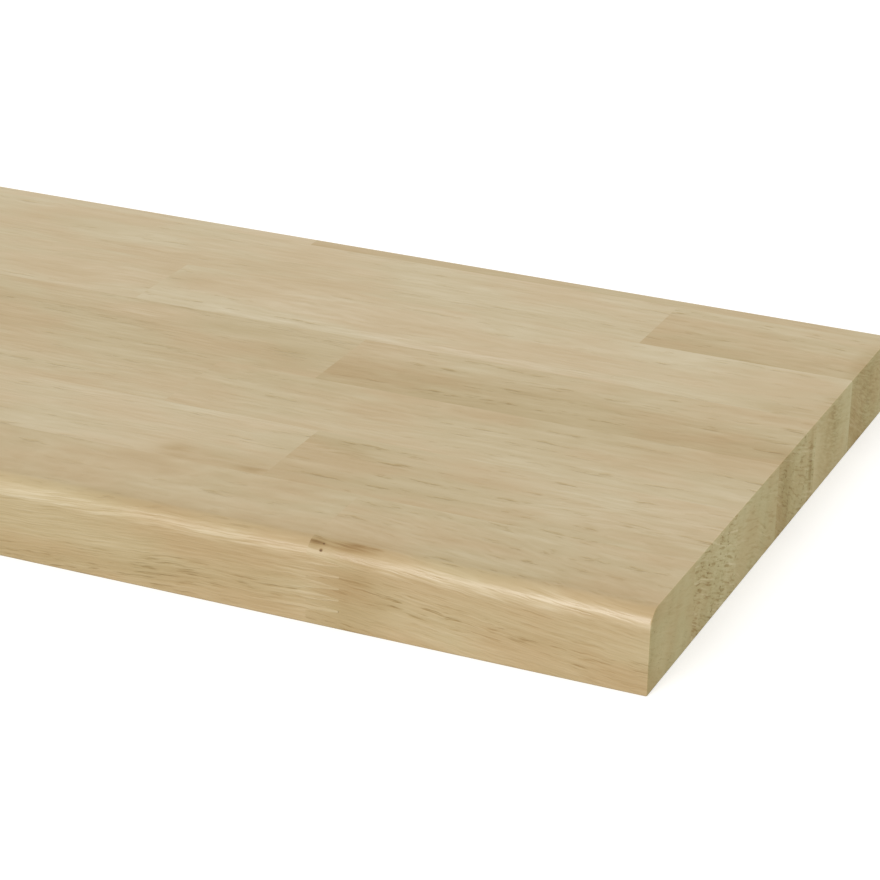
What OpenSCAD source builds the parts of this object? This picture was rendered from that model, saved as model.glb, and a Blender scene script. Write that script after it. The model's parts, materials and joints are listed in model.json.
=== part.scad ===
// Solid oak window sill: a board glued up from finger-jointed staves, ripped to its
// depth at the back, cut square at both ends and rounded along the top front edge.
// The front edge faces -Y, the window frame is at +Y, and the underside is at Z = 0.

/* [Board] */
// Length of the sill along the window
length = 1200; // [600:50:2000]
// Depth from the front edge to the window frame
depth = 250; // [150:10:300]
// Thickness of the board
thickness = 27; // [18:1:40]
// Radius of the rounded top front edge
edge_radius = 6; // [1:0.5:12]

/* [Staves] */
// Width of a full stave
stave_w = 41; // [30:1:60]
// Width of the front stave once its edge is planed
front_stave_w = 38.5; // [25:0.5:60]
// Narrowest strip that ripping to depth may leave at the back
narrowest_strip = 4; // [2:1:15]
// Shortest stave that may be left at the left-hand end
shortest_stave = 70; // [40:5:120]

/* [Finger joints] */
// Length of a finger along the grain
finger_l = 11; // [8:0.5:15]
// Distance from finger to finger through the thickness
finger_pitch = 3.8; // [3:0.1:6]
// Width of a finger's blunt tip
finger_tip = 0.6; // [0.3:0.1:1]
// Glue pocket left past each tip
tip_gap = 0.15; // [0.1:0.05:0.5]
// Least shoulder of whole wood above and below the fingers
least_shoulder = 3; // [2:0.5:5]

/* [Hidden] */
$fn = 96;

// Tones of bare oak, from pale sapwood to brown heartwood
OAK_TONES = ["#d3c19c", "#cbb68d", "#c3ad82", "#b89f70"];

// Each full row's first joint, measured from the right-hand end, from the front row back
FIRST_JOINTS = [110, 144, 201, 165, 257, 78];
// First joint of the strip that is left at the back
STRIP_FIRST_JOINT = 226;
// Lengths of the staves that follow; each row starts at another place in the list
STAVE_LENGTHS = [360, 290, 410, 250, 330, 380];
// Tone of each stave, row by row, counted from the right-hand end
ROW_TONES = [
    [2, 1, 3, 1], [1, 0, 2, 1], [0, 1, 0, 2], [3, 2, 1, 2], [1, 0, 2, 0], [2, 0, 1, 3], [1, 3, 1, 2]
];

// Rows of staves: the last row is what is left of the depth
row_count = 1 + max(1, ceil((depth - front_stave_w - narrowest_strip) / stave_w));
function row_front(r) = r == 0 ? 0 : front_stave_w + (r - 1) * stave_w;
function row_back(r) = r == row_count - 1 ? depth : row_front(r + 1);

// Joints of a row, as distances from the right-hand end
function first_joint(r) = r == row_count - 1 ? STRIP_FIRST_JOINT : FIRST_JOINTS[r % len(FIRST_JOINTS)];
function stave_after(r, k) = STAVE_LENGTHS[(k + 2 * r) % len(STAVE_LENGTHS)];
function joints(r) =
    [for (k = 0, d = first_joint(r); d <= length - shortest_stave; d = d + stave_after(r, k), k = k + 1) d];
function joint_x(r, k) = length / 2 - joints(r)[k];

function row_name(r) = r == 0 ? "front_stave" : r == row_count - 1 ? "back_strip" : str("row", r + 1, "_stave");
STAVES = [for (r = [0 : row_count - 1]) for (k = [0 : len(joints(r))]) [r, k]];

// Fingers fill the thickness between two equal shoulders
finger_count = floor((thickness - 2 * least_shoulder) / finger_pitch);
shoulder = (thickness - finger_count * finger_pitch) / 2;
finger_root = finger_pitch - finger_tip;
function finger_z(i) = shoulder + (i + 0.5) * finger_pitch;
function half_width(reach) = (finger_root + (finger_tip - finger_root) * reach / finger_l) / 2;

// Square-cut end, from the underside up
function cut_end(x) = [[x, 0], [x, thickness]];

// End with fingers that reach past the shoulders at x
function finger_end(x) = let (reach = finger_l - tip_gap) concat(
    [[x, 0]],
    [for (i = [0 : finger_count - 1]) for (p = [[0, -1], [reach, -1], [reach, 1], [0, 1]])
        [x + p[0], finger_z(i) + p[1] * half_width(p[0])]],
    [[x, thickness]]
);

// End with the slots that the fingers enter; the wood between two slots stops tip_gap short of x
function slot_end(x) = concat(
    [[x, 0]],
    [for (i = [0 : finger_count - 1])
        let (below = i == 0 ? 0 : tip_gap, above = i == finger_count - 1 ? 0 : tip_gap)
        for (p = [[below, -1], [finger_l, -1], [finger_l, 1], [above, 1]])
            [x + p[0], finger_z(i) + p[1] * half_width(p[0])]],
    [[x, thickness]]
);

function reversed(points) = [for (i = [len(points) - 1 : -1 : 0]) points[i]];

// One stave: its side view runs the whole width of its row
module stave_blank(r, k) {
    is_left_most = k == len(joints(r));
    left = is_left_most ? cut_end(-length / 2) : slot_end(joint_x(r, k));
    right = k == 0 ? cut_end(length / 2) : finger_end(joint_x(r, k - 1));
    translate([0, row_back(r) - depth / 2, 0])
        rotate([90, 0, 0])
            linear_extrude(row_back(r) - row_front(r))
                polygon(concat(left, reversed(right)));
}

// What the router takes off along the top front edge
module edge_waste() {
    over = 1;
    translate([-length / 2 - over, -depth / 2, thickness])
        difference() {
            translate([0, -over, -edge_radius])
                cube([length + 2 * over, edge_radius + over, edge_radius + over]);
            translate([-over, edge_radius, -edge_radius])
                rotate([0, 90, 0])
                    cylinder(r = edge_radius, h = length + 4 * over);
        }
}

module stave(r, k) {
    tones = ROW_TONES[r % len(ROW_TONES)];
    color(OAK_TONES[tones[k % len(tones)]])
        if (r == 0)
            difference() {
                stave_blank(r, k);
                edge_waste();
            }
        else
            stave_blank(r, k);
}

for (i = [0 : len(STAVES) - 1])
    stave(STAVES[i][0], STAVES[i][1]);
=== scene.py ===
import json
from math import pi, radians

import bpy
from mathutils import Euler, Matrix, Vector

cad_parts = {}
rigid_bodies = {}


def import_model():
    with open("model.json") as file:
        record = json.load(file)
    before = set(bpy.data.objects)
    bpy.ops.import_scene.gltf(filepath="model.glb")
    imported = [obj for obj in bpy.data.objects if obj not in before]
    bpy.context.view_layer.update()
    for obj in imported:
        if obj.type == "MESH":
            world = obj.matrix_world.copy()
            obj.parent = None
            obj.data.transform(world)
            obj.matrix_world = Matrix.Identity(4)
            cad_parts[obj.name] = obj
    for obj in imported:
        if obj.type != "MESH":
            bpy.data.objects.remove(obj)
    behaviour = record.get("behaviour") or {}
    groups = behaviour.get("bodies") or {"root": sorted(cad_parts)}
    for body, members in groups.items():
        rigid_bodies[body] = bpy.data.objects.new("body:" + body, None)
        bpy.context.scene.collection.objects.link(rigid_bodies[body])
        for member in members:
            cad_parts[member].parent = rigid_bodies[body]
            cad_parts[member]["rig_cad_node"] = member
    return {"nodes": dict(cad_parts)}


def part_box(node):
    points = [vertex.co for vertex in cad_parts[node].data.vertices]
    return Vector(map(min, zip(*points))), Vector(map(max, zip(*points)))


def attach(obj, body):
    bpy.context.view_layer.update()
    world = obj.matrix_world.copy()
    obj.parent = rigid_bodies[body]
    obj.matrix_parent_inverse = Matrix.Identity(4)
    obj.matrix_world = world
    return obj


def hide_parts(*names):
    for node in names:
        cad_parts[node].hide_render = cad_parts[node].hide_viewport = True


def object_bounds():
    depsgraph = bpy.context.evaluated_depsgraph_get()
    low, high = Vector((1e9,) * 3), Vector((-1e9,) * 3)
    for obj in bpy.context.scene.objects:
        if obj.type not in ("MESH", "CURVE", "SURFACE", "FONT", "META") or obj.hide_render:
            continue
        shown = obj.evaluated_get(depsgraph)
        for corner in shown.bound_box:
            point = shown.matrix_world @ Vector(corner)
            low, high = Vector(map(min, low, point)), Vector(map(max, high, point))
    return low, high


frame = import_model()
cad_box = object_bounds()
low, high = (Vector(corner) for corner in cad_box)

# Front row: four oak staves in a line, finger-jointed end to end, glued to the row behind
# and then planed, with the top front edge routed round. Bare wood, sanded along the grain,
# its outer corners just broken with sandpaper.
MM = 0.001
TOUCHING = 0.001 * MM
EASED = 0.4 * MM
ROUND = 6 * MM
POCKET = 0.15 * MM
DRY_POCKET = 7 * MM

# Solid oak, sawn on the quarter and the rift, planed and sanded but not oiled. The eye sees soft
# tones that drift along the stave, sparse dark pores in short dashes, and a dull satin surface.
OAK = "#c9b999"
RAY = "#e2d6b4"
SAWN = "#ecf1e0"
RING = 4.5 * MM
WAVE = 1.6 * MM
WANDER = 8 * MM

# Sizes along the grain, out from the heart and round the rings. Real pores and fibres are about
# 0.3 mm thick, and are drawn at 0.8 mm so that they show.
PORE_SIZE = (10 * MM, 2.2 * MM, 0.8 * MM)
RAY_SIZE = (9 * MM, 26 * MM, 0.9 * MM)
TORN_SIZE = (2 * MM, 8 * MM, 1.0 * MM)
FIBRE_SIZE = (17 * MM, 5 * MM, 0.8 * MM)
STREAK_SIZE = (90 * MM, 9 * MM, 14 * MM)
CLOUD_SIZE = (50 * MM, 20 * MM, 20 * MM)


def linear(colour):
    """An sRGB hex colour as the linear colour that a shader takes."""
    parts = [int(colour[i:i + 2], 16) / 255 for i in (1, 3, 5)]
    return (*(c / 12.92 if c <= 0.04045 else ((c + 0.055) / 1.055) ** 2.4 for c in parts), 1)


def add(tree, kind, inputs=None, **settings):
    """Adds a node with its settings, then fills its inputs with values or links."""
    node = tree.nodes.new(kind)
    for name, value in settings.items():
        setattr(node, name, value)
    for key, value in (inputs or {}).items():
        if isinstance(value, bpy.types.NodeSocket):
            tree.links.new(value, node.inputs[key])
        else:
            node.inputs[key].default_value = value
    return node


def per(sizes):
    """The scales at which a noise repeats about once in each of these sizes."""
    return [1 / size for size in sizes]


def on(value, plane):
    """Whether a coordinate lies on this plane, to a hundredth of a millimetre."""
    return abs(value - plane) < 0.01 * MM


def solid_oak(node, front, back, pith, lean, pores, torn=0.1, marks=(), seed=0):
    """Oak as a solid: every face of the stave cuts the same rings, pores and rays.

    Oak that is darker is browner too: it is the pale oak's colour raised to a power. front and
    back are that power at the stave's two long edges. pith is where the tree's heart lay, in
    millimetres across and up from the stave's middle. lean is how far the grain drifts back and
    up for each unit along the stave. pores is how dark the pores are, and torn how badly the saw
    tore the end. A mark is a paler or darker patch: its place in millimetres from the sill's
    right-hand front bottom corner, its half sizes, and how dark it is.
    """
    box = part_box(node)
    pith = Vector(pith) * MM
    material = bpy.data.materials.new(node + "_oak")
    material.use_nodes = True
    tree = material.node_tree
    tree.nodes.clear()
    middle = (box[0] + box[1]) / 2
    coordinates = add(tree, "ShaderNodeTexCoord").outputs
    place = coordinates["Object"]

    # Where this stave lies in each noise, so that no two staves look alike
    own = [seed * step % 97 for step in (3.1, 5.3, 7.9)]

    # The trunk wanders slowly and the fibres wave, so no line runs dead straight
    slow_space = add(tree, "ShaderNodeMapping", {
        "Vector": place, "Location": own, "Scale": per((150 * MM, 40 * MM, 40 * MM))})
    slow = add(tree, "ShaderNodeTexNoise", {"Vector": slow_space.outputs[0], "Scale": 1, "Detail": 2})
    wave_space = add(tree, "ShaderNodeMapping", {
        "Vector": place, "Location": own, "Scale": per((15 * MM, 12 * MM, 12 * MM))})
    wave = add(tree, "ShaderNodeTexNoise", {
        "Vector": wave_space.outputs[0], "Scale": 1, "Detail": 3, "Roughness": 0.6})
    waved = add(tree, "ShaderNodeVectorMath", {
        0: wave.outputs["Color"], 1: (0, WAVE, WAVE), 2: place}, operation="MULTIPLY_ADD")
    bent = add(tree, "ShaderNodeVectorMath", {
        0: slow.outputs["Color"], 1: (0, WANDER, WANDER), 2: waved.outputs[0]}, operation="MULTIPLY_ADD")

    # Wood's own directions: along the grain, out from the heart, and round the rings. The wave
    # and the wander push the wood back and up by about 5 mm, so the heart is moved with it.
    shift = 5 * MM
    heart = middle + Vector((0, pith[0] + shift, pith[1] + shift))
    trunk = add(tree, "ShaderNodeMapping", {
        "Vector": bent.outputs[0], "Location": heart, "Rotation": (0, -lean[1], lean[0])},
        vector_type="TEXTURE")
    part = add(tree, "ShaderNodeSeparateXYZ", {0: trunk.outputs[0]})
    flat = add(tree, "ShaderNodeVectorMath", {0: trunk.outputs[0], 1: (0, 1, 1)}, operation="MULTIPLY")
    radius = add(tree, "ShaderNodeVectorMath", {0: flat.outputs[0]}, operation="LENGTH").outputs["Value"]
    turn = add(tree, "ShaderNodeMath", {0: part.outputs["Z"], 1: part.outputs["Y"]}, operation="ARCTAN2")
    arc = add(tree, "ShaderNodeMath", {0: turn.outputs[0], 1: pith.length}, operation="MULTIPLY")
    wood = add(tree, "ShaderNodeCombineXYZ", {
        "X": part.outputs["X"], "Y": radius, "Z": arc.outputs[0]}).outputs[0]

    # Rings of uneven width, each starting with a band of wide spring pores
    luck_space = add(tree, "ShaderNodeMapping", {
        "Vector": wood, "Location": own, "Scale": per((900 * MM, 4 * RING, 90 * MM))})
    luck = add(tree, "ShaderNodeTexNoise", {"Vector": luck_space.outputs[0], "Scale": 1, "Detail": 1})
    years = add(tree, "ShaderNodeMath", {0: radius, 1: RING}, operation="DIVIDE")
    uneven = add(tree, "ShaderNodeMath", {
        0: luck.outputs[0], 1: 2.5, 2: years.outputs[0]}, operation="MULTIPLY_ADD")
    year = add(tree, "ShaderNodeMath", {0: uneven.outputs[0], 1: 1.0}, operation="PINGPONG")
    spring = add(tree, "ShaderNodeMapRange", {
        "Value": year.outputs[0], "From Min": 0.45, "From Max": 0.9}, interpolation_type="SMOOTHSTEP")
    cloud_space = add(tree, "ShaderNodeMapping", {"Vector": wood, "Location": own, "Scale": per(CLOUD_SIZE)})
    cloud = add(tree, "ShaderNodeTexNoise", {"Vector": cloud_space.outputs[0], "Scale": 1, "Detail": 3})
    clear = add(tree, "ShaderNodeMapRange", {
        "Value": cloud.outputs[0], "From Min": 0.38, "From Max": 0.62, "To Min": 0.1, "To Max": 1.3},
        interpolation_type="SMOOTHSTEP")
    porous = add(tree, "ShaderNodeMath", {0: spring.outputs[0], 1: clear.outputs[0]}, operation="MULTIPLY")

    # Pores: thin tubes, cut to ragged dashes on the faces and to dots on the sawn ends
    pore_space = add(tree, "ShaderNodeMapping", {"Vector": wood, "Location": own, "Scale": per(PORE_SIZE)})
    tubes = add(tree, "ShaderNodeTexNoise", {
        "Vector": pore_space.outputs[0], "Scale": 1, "Detail": 2, "Roughness": 0.6})
    tube = add(tree, "ShaderNodeMapRange", {
        "Value": tubes.outputs[0], "From Min": 0.52, "From Max": 0.76}, interpolation_type="SMOOTHSTEP")
    some = add(tree, "ShaderNodeMapRange", {"Value": porous.outputs[0], "To Min": 0.2, "To Max": 1})
    pore = add(tree, "ShaderNodeMath", {0: tube.outputs[0], 1: some.outputs[0]}, operation="MULTIPLY")

    # Rays: thin ribbons from the heart to the bark, paler than the rest, plain on the sawn ends
    ray_space = add(tree, "ShaderNodeMapping", {"Vector": wood, "Location": own, "Scale": per(RAY_SIZE)})
    ribbons = add(tree, "ShaderNodeTexNoise", {
        "Vector": ray_space.outputs[0], "Scale": 1, "Detail": 1, "Roughness": 0.5})
    ray = add(tree, "ShaderNodeMapRange", {
        "Value": ribbons.outputs[0], "From Min": 0.55, "From Max": 0.8}, interpolation_type="SMOOTHSTEP")

    # Fine fibre, and streaks that drift along the grain
    fibre_space = add(tree, "ShaderNodeMapping", {"Vector": wood, "Location": own, "Scale": per(FIBRE_SIZE)})
    fibre = add(tree, "ShaderNodeTexNoise", {
        "Vector": fibre_space.outputs[0], "Scale": 1, "Detail": 1, "Roughness": 0.6})
    streak_space = add(tree, "ShaderNodeMapping", {
        "Vector": wood, "Location": own, "Scale": per(STREAK_SIZE)})
    streak = add(tree, "ShaderNodeTexNoise", {
        "Vector": streak_space.outputs[0], "Scale": 1, "Detail": 3, "Roughness": 0.5})

    # Shade, from the stave's front edge to its back edge, with a blush that comes and goes. In the
    # front row the first shade is the outer edge's, and the second starts past the rounding. There the
    # second shade, on the top, is paler partly by the oak's own tone and partly as painted sheen, which
    # stands in for the lamps' sheen on the level top.
    width = 2 * ROUND if on(box[0].y, low.y) else box[1].y - box[0].y
    ragged = width / 2
    first = box[0].y + ragged / 2
    across = add(tree, "ShaderNodeSeparateXYZ", {0: place}).outputs["Y"]
    pushed = add(tree, "ShaderNodeMath", {
        0: streak.outputs[0], 1: ragged, 2: across}, operation="MULTIPLY_ADD")
    brown = add(tree, "ShaderNodeMapRange", {
        "Value": pushed.outputs[0], "From Min": first, "From Max": first + width,
        "To Min": front, "To Max": back}, interpolation_type="SMOOTHSTEP")
    blush = add(tree, "ShaderNodeMapRange", {"Value": cloud.outputs[0], "From Min": 0.4, "From Max": 0.6})
    tint = add(tree, "ShaderNodeMix", {
        0: blush.outputs[0], 6: (1.014, 0.993, 0.988, 1), 7: (0.99, 1.004, 1.0, 1)}, data_type="RGBA")
    blushed = add(tree, "ShaderNodeMix", {
        0: 1, 6: linear(OAK), 7: tint.outputs[2]}, data_type="RGBA", blend_type="MULTIPLY")

    # Sawn ends drink the light, and the saw tears the pores out in short strokes
    facing = add(tree, "ShaderNodeSeparateXYZ", {0: coordinates["Normal"]}).outputs
    endwise = add(tree, "ShaderNodeMath", {0: facing["X"]}, operation="ABSOLUTE")
    end = add(tree, "ShaderNodeMapRange", {"Value": endwise.outputs[0], "From Min": 0.5, "From Max": 0.8})
    torn_space = add(tree, "ShaderNodeMapping", {"Vector": wood, "Location": own, "Scale": per(TORN_SIZE)})
    tears = add(tree, "ShaderNodeTexNoise", {"Vector": torn_space.outputs[0], "Scale": 1, "Detail": 2})
    tear = add(tree, "ShaderNodeMapRange", {
        "Value": tears.outputs[0], "From Min": 0.52, "From Max": 0.7}, interpolation_type="SMOOTHSTEP")
    hole = add(tree, "ShaderNodeMath", {0: tear.outputs[0], 1: end.outputs[0]}, operation="MULTIPLY")
    coarse = add(tree, "ShaderNodeMapRange", {"Value": end.outputs[0], "To Min": 1, "To Max": 2 * torn})

    # Pores show less on the level top than on the upright front, and least on a clean sawn end
    level = add(tree, "ShaderNodeMath", {0: facing["Z"]}, operation="ABSOLUTE")
    shown = add(tree, "ShaderNodeMapRange", {"Value": level.outputs[0], "To Min": 0.75, "To Max": 0.4})
    open_pore = add(tree, "ShaderNodeMath", {0: pore.outputs[0], 1: shown.outputs[0]}, operation="MULTIPLY")
    dash = add(tree, "ShaderNodeMath", {0: open_pore.outputs[0], 1: coarse.outputs[0]}, operation="MULTIPLY")
    fine = add(tree, "ShaderNodeMath", {0: fibre.outputs[0], 1: coarse.outputs[0]}, operation="MULTIPLY")

    # The stave's shade, its texture and its marks all change the power. The noises lie about a
    # half, so half of each strength goes back on, and the shade stays as it was given.
    streaks, clouds, fibres = 0.25, 0.30, 0.35
    usual = add(tree, "ShaderNodeMath", {
        0: coarse.outputs[0], 1: fibres / 2, 2: 1 + (streaks + clouds) / 2}, operation="MULTIPLY_ADD")
    power = usual.outputs[0]
    for value, strength in ((streak, -streaks), (cloud, -clouds), (fine, -fibres), (porous, 0.03),
                            (dash, pores), (hole, torn)):
        power = add(tree, "ShaderNodeMath", {
            0: value.outputs[0], 1: strength, 2: power}, operation="MULTIPLY_ADD").outputs[0]

    # Marks, broken up by the fibre. The waves push their corner by half of the waves' size.
    streaky = add(tree, "ShaderNodeMapRange", {
        "Value": fibre.outputs[0], "From Min": 0.35, "From Max": 0.65, "To Min": 0.4, "To Max": 1.6})
    corner = Vector((high.x, low.y + WAVE / 2, low.z + WAVE / 2))
    for x, y, z, half_x, half_y, half_z, strength in marks:
        spot_space = add(tree, "ShaderNodeMapping", {
            "Vector": waved.outputs[0], "Location": corner + Vector((x, y, z)) * MM,
            "Scale": Vector((half_x, half_y, half_z)) * MM}, vector_type="TEXTURE")
        spot = add(tree, "ShaderNodeTexGradient", {0: spot_space.outputs[0]}, gradient_type="SPHERICAL")
        soft = add(tree, "ShaderNodeMapRange", {"Value": spot.outputs[1], "To Max": strength},
                   interpolation_type="SMOOTHSTEP")
        power = add(tree, "ShaderNodeMath", {
            0: soft.outputs[0], 1: streaky.outputs[0], 2: power}, operation="MULTIPLY_ADD").outputs[0]
    whole = add(tree, "ShaderNodeMath", {0: brown.outputs[0], 1: power}, operation="MULTIPLY")
    grained = add(tree, "ShaderNodeGamma", {"Color": blushed.outputs[2], "Gamma": whole.outputs[0]})

    # Sawn ends are duller and a little greener, and their rays show most where the saw tore them
    cut = add(tree, "ShaderNodeMix", {
        0: end.outputs[0], 6: grained.outputs[0], 7: linear(SAWN)}, data_type="RGBA", blend_type="MULTIPLY")
    seen = add(tree, "ShaderNodeMapRange", {"Value": end.outputs[0], "To Min": 0.04, "To Max": 0.6 * torn})
    ray_part = add(tree, "ShaderNodeMath", {0: ray.outputs[0], 1: seen.outputs[0]}, operation="MULTIPLY")
    rayed = add(tree, "ShaderNodeMix", {
        0: ray_part.outputs[0], 6: cut.outputs[2], 7: linear(RAY)}, data_type="RGBA")

    # Sanding leaves the faces dull, and the router burnishes the rounded edge, most low down
    curved = add(tree, "ShaderNodeMath", {0: facing["Y"], 1: facing["Z"]}, operation="MULTIPLY")
    low_down = add(tree, "ShaderNodeMath", {0: curved.outputs[0], 1: facing["Y"]}, operation="MULTIPLY")
    burnish = add(tree, "ShaderNodeMapRange", {
        "Value": low_down.outputs[0], "From Max": 0.25, "To Min": 0.6, "To Max": 0.18})
    satin = add(tree, "ShaderNodeMath", {
        0: fibre.outputs[0], 1: 0.25, 2: burnish.outputs[0]}, operation="MULTIPLY_ADD")
    dull = add(tree, "ShaderNodeMix", {0: end.outputs[0], 2: satin.outputs[0], 3: 0.85})
    height = add(tree, "ShaderNodeMath", {
        0: pore.outputs[0], 1: -1.5, 2: fibre.outputs[0]}, operation="MULTIPLY_ADD")
    relief = add(tree, "ShaderNodeBump", {
        "Height": height.outputs[0], "Strength": 0.6, "Distance": 0.2 * MM})
    skin = add(tree, "ShaderNodeBsdfPrincipled", {
        "Base Color": rayed.outputs[2], "Roughness": dull.outputs[0], "IOR": 1.5,
        "Normal": relief.outputs[0]})
    add(tree, "ShaderNodeOutputMaterial", {"Surface": skin.outputs[0]})
    return material


def broken_corner(edge, mesh):
    """Whether this edge is one that shows from outside, and not a joint between two staves."""
    a, b = (mesh.vertices[i].co for i in edge.vertices)
    ends = any(on(a.x, x) and on(b.x, x) for x in (low.x, high.x))
    faces = [any(on(a[i], p) and on(b[i], p) for p in (low[i], high[i])) for i in (1, 2)]
    if ends:
        return faces[0] or faces[1] or not on(a.y, b.y)
    return faces[0] and faces[1]


def even_rounding(mesh):
    """Gives the facets of the rounded edge the normals of a true round, so its sheen runs even."""
    axis = Vector((0, low.y + ROUND, high.z - ROUND))
    normals = [Vector(corner.vector) for corner in mesh.corner_normals]
    for face in mesh.polygons:
        for i in face.loop_indices:
            out = (mesh.vertices[mesh.loops[i].vertex_index].co - axis) * Vector((0, 1, 1))
            on_round = out.y < TOUCHING and out.z > -TOUCHING and on(out.length, ROUND)
            if on_round and abs(face.normal.x) < 0.1:
                normals[i] = out.normalized()
    mesh.normals_split_custom_set(normals)


def fill_pockets(mesh, box):
    """Closes the pockets past the finger tips, which cured glue fills, save the lowest one."""
    for vertex in mesh.vertices:
        if on(vertex.co.x, box[1].x) and box[1].x < high.x and vertex.co.z > low.z + DRY_POCKET:
            vertex.co.x += POCKET
        if on(vertex.co.x, box[0].x + POCKET):
            vertex.co.x = box[0].x


def bench_stave(node, material):
    """A copy of the stave's solid with its outer corners broken, dressed in its own oak."""
    bpy.ops.object.select_all(action="DESELECT")
    solid = frame["nodes"][node]
    solid.select_set(True)
    bpy.context.view_layer.objects.active = solid
    bpy.ops.object.duplicate()
    piece = bpy.context.active_object
    piece.name = piece.data.name = "oak_" + node
    del piece["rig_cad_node"]
    bpy.ops.object.mode_set(mode="EDIT")
    bpy.ops.mesh.select_mode(type="EDGE")
    bpy.ops.mesh.select_all(action="SELECT")
    bpy.ops.mesh.remove_doubles(threshold=TOUCHING)
    bpy.ops.mesh.dissolve_limited(angle_limit=radians(1))
    bpy.ops.mesh.select_all(action="DESELECT")
    bpy.ops.object.mode_set(mode="OBJECT")
    if node.startswith("front"):
        fill_pockets(piece.data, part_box(node))
    for edge in piece.data.edges:
        edge.select = broken_corner(edge, piece.data)
    bpy.ops.object.mode_set(mode="EDIT")
    bpy.ops.mesh.bevel(offset=EASED, segments=2, affect="EDGES")
    bpy.ops.object.mode_set(mode="OBJECT")
    bpy.ops.object.shade_smooth_by_angle(angle=radians(20))
    if node.startswith("front"):
        even_rounding(piece.data)
    piece.data.materials.clear()
    piece.data.materials.append(material)
    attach(piece, "root")
    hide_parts(node)


# Each stave: the shades of its front and back edge, pith, lean, pores, tearing and marks. The
# first one's marks are a pin knot at its joint, the brown figure round it and two painted
# highlights on its rounded edge, where the key lamp's sheen runs brightest.
# In the front row the back shade, on the top, is paler partly as painted sheen for the level top.
FRONT_ROW = [
    (1.44, 1.26, (-139, 56), (0.01, -0.09), 1.0, 0.1,
     [(-96, 2, 12, 20, 14, 26, 0.18), (-105.6, 1.0, 24.6, 0.8, 0.8, 0.8, 2.5),
      (-105.4, 2.6, 26.2, 0.6, 0.6, 0.6, 1.5), (-98, 3.4, 26.5, 14, 2.8, 3, 0.35),
      (-108, 2.8, 26.4, 5, 3.2, 3.4, 0.6), (-96, 4.2, 26.9, 7, 0.9, 1.2, 0.35),
      (-89, 4.3, 27, 4, 1, 1.5, 0.4), (-92, 0, 17, 9, 10, 3, 0.15), (-84, 0, 11, 9, 10, 2.5, 0.12),
      # The last two marks are painted highlights along the rounded edge.
      (-74, 2, 25, 24, 5, 4, -0.12), (-25, 2, 25, 28, 6, 4, -0.18)]),
    # The second stave's last two marks are painted highlights along its rounded edge.
    (1.49, 1.25, (-150, 20), (0.0, 0.04), 0.6, 0.1,
     [(-105, 0, 15, 25, 15, 24, -0.09), (-138, 1.6, 25, 46, 5, 4.5, -0.15),
      (-200, 2, 25, 40, 5, 4, -0.07)]),
    (1.56, 1.22, (80, 60), (-0.01, 0.01), 1.0, 0.1, []),
    (1.52, 1.34, (-90, 70), (0.01, 0.0), 1.0, 0.1, []),
]
# Along the whole edge a painted shade line darkens the upper part of the rounding, where it meets
# the top and catches less of the lamps' sheen, and a painted highlight line lightens its lower part,
# where it meets the front and the key lamp's sheen runs.
PAINTED_SHADE_LINE = (-600, 3.2, 26.5, 4000, 3.4, 2.6, 0.10)
PAINTED_HIGHLIGHT_LINE = (-600, 0.4, 22.2, 4000, 2.5, 2.4, -0.12)
for k, (*look, marks) in enumerate(FRONT_ROW, 1):
    node = f"front_stave_{k}"
    bench_stave(node, solid_oak(node, *look, [*marks, PAINTED_SHADE_LINE, PAINTED_HIGHLIGHT_LINE], k))

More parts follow.
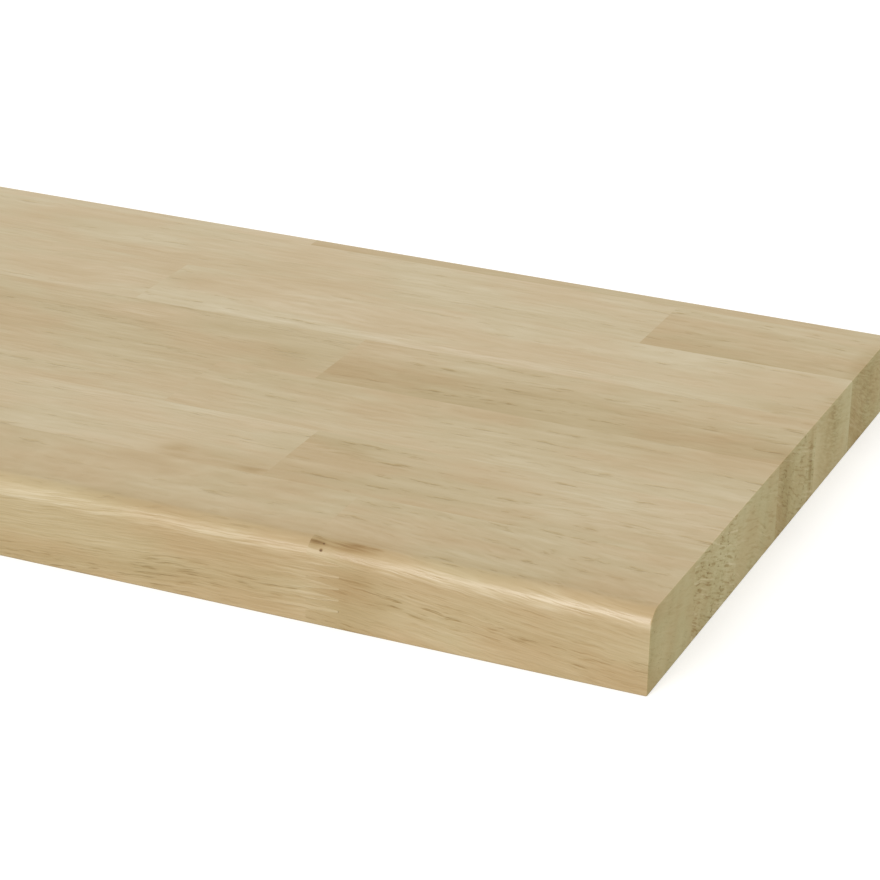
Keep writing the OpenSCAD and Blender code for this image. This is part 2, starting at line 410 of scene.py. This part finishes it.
# Inner rows: five rows of staves, 41 mm wide, glued edge to edge. Their fingers lie hidden, so
# each end-to-end joint shows on top only as a straight butt line where one oak meets another.
INNER_ROWS = {
    "row2": [(1.28, 1.14, (-139, 56), (0.0, 0.01), 1.3, 0.5,
              [(-130, 60, 27, 78, 34, 24, 0.13), (-146, 72, 27, 60, 14, 20, 0.08),
               (-126, 69, 27, 18, 8, 12, 0.10), (-110, 46, 27, 50, 6, 10, 0.05),
               (-136, 54, 27, 26, 6, 10, -0.11), (-80, 62, 27, 34, 18, 14, 0.05),
               (-30, 60, 27, 55, 28, 20, -0.05)]),
             (1.12, 1.12, (80, -45), (0.01, 0.0), 0.6, 0.1,
              [(-164, 43, 27, 32, 11, 14, 0.22), (-178, 44, 27, 9, 9, 8, 0.16),
               (-149, 42, 27, 9, 6, 6, 0.20), (-144, 60, 27, 18, 34, 20, 0.08),
               (-215, 76, 27, 80, 6, 10, -0.04)]),
             (1.21, 1.24, (-70, 50), (0.0, 0.01), 0.6, 0.1, []),
             (1.11, 1.24, (60, 80), (-0.01, 0.0), 0.6, 0.1, [])],
    "row3": [(1.16, 1.27, (-139, 56), (-0.01, 0.0), 0.6, 0.2, []),
             (1.17, 1.26, (-80, 55), (0.0, 0.0), 0.6, 0.1, []),
             (1.11, 1.24, (90, 40), (0.01, 0.01), 0.6, 0.1, []),
             (1.33, 1.35, (-50, -90), (0.0, -0.01), 0.6, 0.1, [])],
    "row4": [(1.45, 1.23, (-139, 56), (0.01, 0.0), 1.0, 0.35,
              [(-80, 128, 27, 110, 12, 30, 0.04), (0, 129, 14, 8, 10, 22, 0.22),
               (0, 157, 13, 6, 3.5, 16, 0.5)]),
             (1.29, 1.24, (60, -75), (-0.02, 0.0), 0.6, 0.1,
              [(-188, 136, 27, 32, 10, 20, 0.10), (-208, 151, 27, 32, 7, 10, 0.16),
               (-182, 143, 27, 20, 9, 12, 0.08), (-178, 128, 27, 16, 8, 10, 0.06),
               (-250, 149, 27, 24, 7, 10, -0.08)]),
             (1.14, 1.24, (-90, 30), (0.0, 0.0), 0.6, 0.1, []),
             (1.28, 1.32, (80, 70), (0.01, 0.0), 0.6, 0.1, [])],
    "row5": [(1.09, 1.09, (-139, 56), (0.01, 0.0), 0.7, 0.1,
              [(-145, 166, 27, 120, 6, 10, -0.09), (-250, 188, 27, 22, 12, 20, 0.12),
               (-192, 185, 27, 26, 24, 20, -0.06), (-14, 166, 27, 34, 7, 10, 0.16),
               (0, 178, 27, 50, 24, 30, 0.10), (0, 182, 13, 8, 22, 30, 0.2), (0, 182, 22, 6, 5, 12, 0.3)]),
             (1.12, 1.13, (90, -30), (0.0, 0.01), 0.6, 0.1, [(-272, 182, 27, 24, 18, 20, -0.05)]),
             (1.27, 1.21, (70, 60), (0.0, 0.0), 0.6, 0.1, []),
             (1.14, 1.18, (-80, 40), (-0.01, 0.0), 0.6, 0.1, [])],
    "row6": [(1.35, 1.15, (-139, 56), (0.0, 0.0), 1.0, 0.2,
              [(0, 222, 12, 8, 34, 34, 0.30), (-60, 209, 27, 40, 9, 10, 0.05)]),
             (1.16, 1.07, (-85, -35), (0.01, 0.0), 0.6, 0.1, [(-322, 228, 27, 44, 12, 16, 0.10)]),
             (1.22, 1.26, (90, 50), (0.0, 0.01), 0.6, 0.1, []),
             (1.22, 1.15, (60, -70), (0.0, 0.0), 0.6, 0.1, [])],
}
for row, staves in INNER_ROWS.items():
    for k, look in enumerate(staves, 1):
        node = f"{row}_stave_{k}"
        seed = 10 * int(row[3:]) + k
        bench_stave(node, solid_oak(node, *look, seed))

# Back strip: what was left of the last row when the glued panel was ripped to its depth.
# The same oak, 6.5 mm wide, with its own joints. Each stave: its shades, pith and lean.
FINE_PORES = 0.6
BACK_STRIP = [
    (1.26, 1.26, (70, -60), (0.0, 0.0)),
    (1.04, 1.04, (80, 50), (0.0, 0.0)),
    (1.20, 1.20, (-80, 50), (0.0, 0.0)),
    (1.18, 1.18, (60, 70), (0.0, 0.0)),
]
for k, look in enumerate(BACK_STRIP, 1):
    node = f"back_strip_{k}"
    bench_stave(node, solid_oak(node, *look, FINE_PORES, seed=80 + k))

# Floor: a wide sheet of matt white paper. It takes the board's soft shadow, and to the camera
# it is lifted to plain white.
PAPER = "#d9d8d5"
PAPER_WIDTH = 30
LIFT = 0.45
bpy.ops.mesh.primitive_plane_add(size=PAPER_WIDTH)
floor = bpy.context.active_object
floor.name = "paper_floor"
paper = bpy.data.materials.new("matt_white_paper")
paper.use_nodes = True
tree = paper.node_tree
tree.nodes.clear()
matt = add(tree, "ShaderNodeBsdfDiffuse", {"Color": linear(PAPER)})
seen = add(tree, "ShaderNodeLightPath").outputs["Is Camera Ray"]
lift = add(tree, "ShaderNodeEmission", {"Color": (LIFT, LIFT, LIFT, 1), "Strength": seen})
both = add(tree, "ShaderNodeAddShader", {0: matt.outputs[0], 1: lift.outputs[0]})
add(tree, "ShaderNodeOutputMaterial", {"Surface": both.outputs[0]})
floor.data.materials.append(paper)

# Light: two large soft lamps in an even white room. The key stands front left, so that its sheen
# runs along the rounded edge, and a weaker one stands to the right and lights the sawn end.
# Each lamp: how bright it is, then its height, its side and its spread in degrees.
LAMPS = {"key": (0.52, 33, -10, 26), "end_fill": (0.28, 25, 75, 50)}
for lamp_name, (level, elevation, azimuth, spread) in LAMPS.items():
    bpy.ops.object.light_add(type="SUN")
    lamp = bpy.context.active_object
    lamp.name = lamp_name
    lamp.data.energy = level * pi
    lamp.data.angle = radians(spread)
    lamp.rotation_euler = Euler((radians(90 - elevation), 0, radians(azimuth)))

room = bpy.data.worlds.new("white_room")
bpy.context.scene.world = room
room.use_nodes = True
tree = room.node_tree
tree.nodes.clear()
path = add(tree, "ShaderNodeLightPath").outputs
seen = add(tree, "ShaderNodeMath", {
    0: path["Is Camera Ray"], 1: path["Is Glossy Ray"]}, operation="MAXIMUM")
fill = add(tree, "ShaderNodeBackground", {"Color": (1, 1, 1, 1), "Strength": 0.60})
white = add(tree, "ShaderNodeBackground", {"Color": (1, 1, 1, 1), "Strength": 1})
mixed = add(tree, "ShaderNodeMixShader", {0: seen.outputs[0], 1: fill.outputs[0], 2: white.outputs[0]})
add(tree, "ShaderNodeOutputWorld", {"Surface": mixed.outputs[0]})

# Camera: a long lens, looking down from the front right, close to one end, so that the board
# runs out of view on the left. Its place and turn were fitted to the board's edges in the photo.
CAMERA_AT = Vector((0.85212, -0.87962, 0.41278))
CAMERA_AZIMUTH, CAMERA_ELEVATION, CAMERA_ROLL = radians(22.943), radians(22.809), radians(1.536)
bpy.ops.object.camera_add()
camera = bpy.context.active_object
camera.name = "camera"
camera.data.sensor_width = 36
camera.data.lens = 125.6
aim = Euler((pi / 2 - CAMERA_ELEVATION, 0, CAMERA_AZIMUTH)).to_matrix()
camera.matrix_world = Matrix.Translation(CAMERA_AT) @ (aim @ Matrix.Rotation(CAMERA_ROLL, 3, "Z")).to_4x4()
bpy.context.scene.camera = camera
bpy.context.scene.view_settings.view_transform = "Standard"
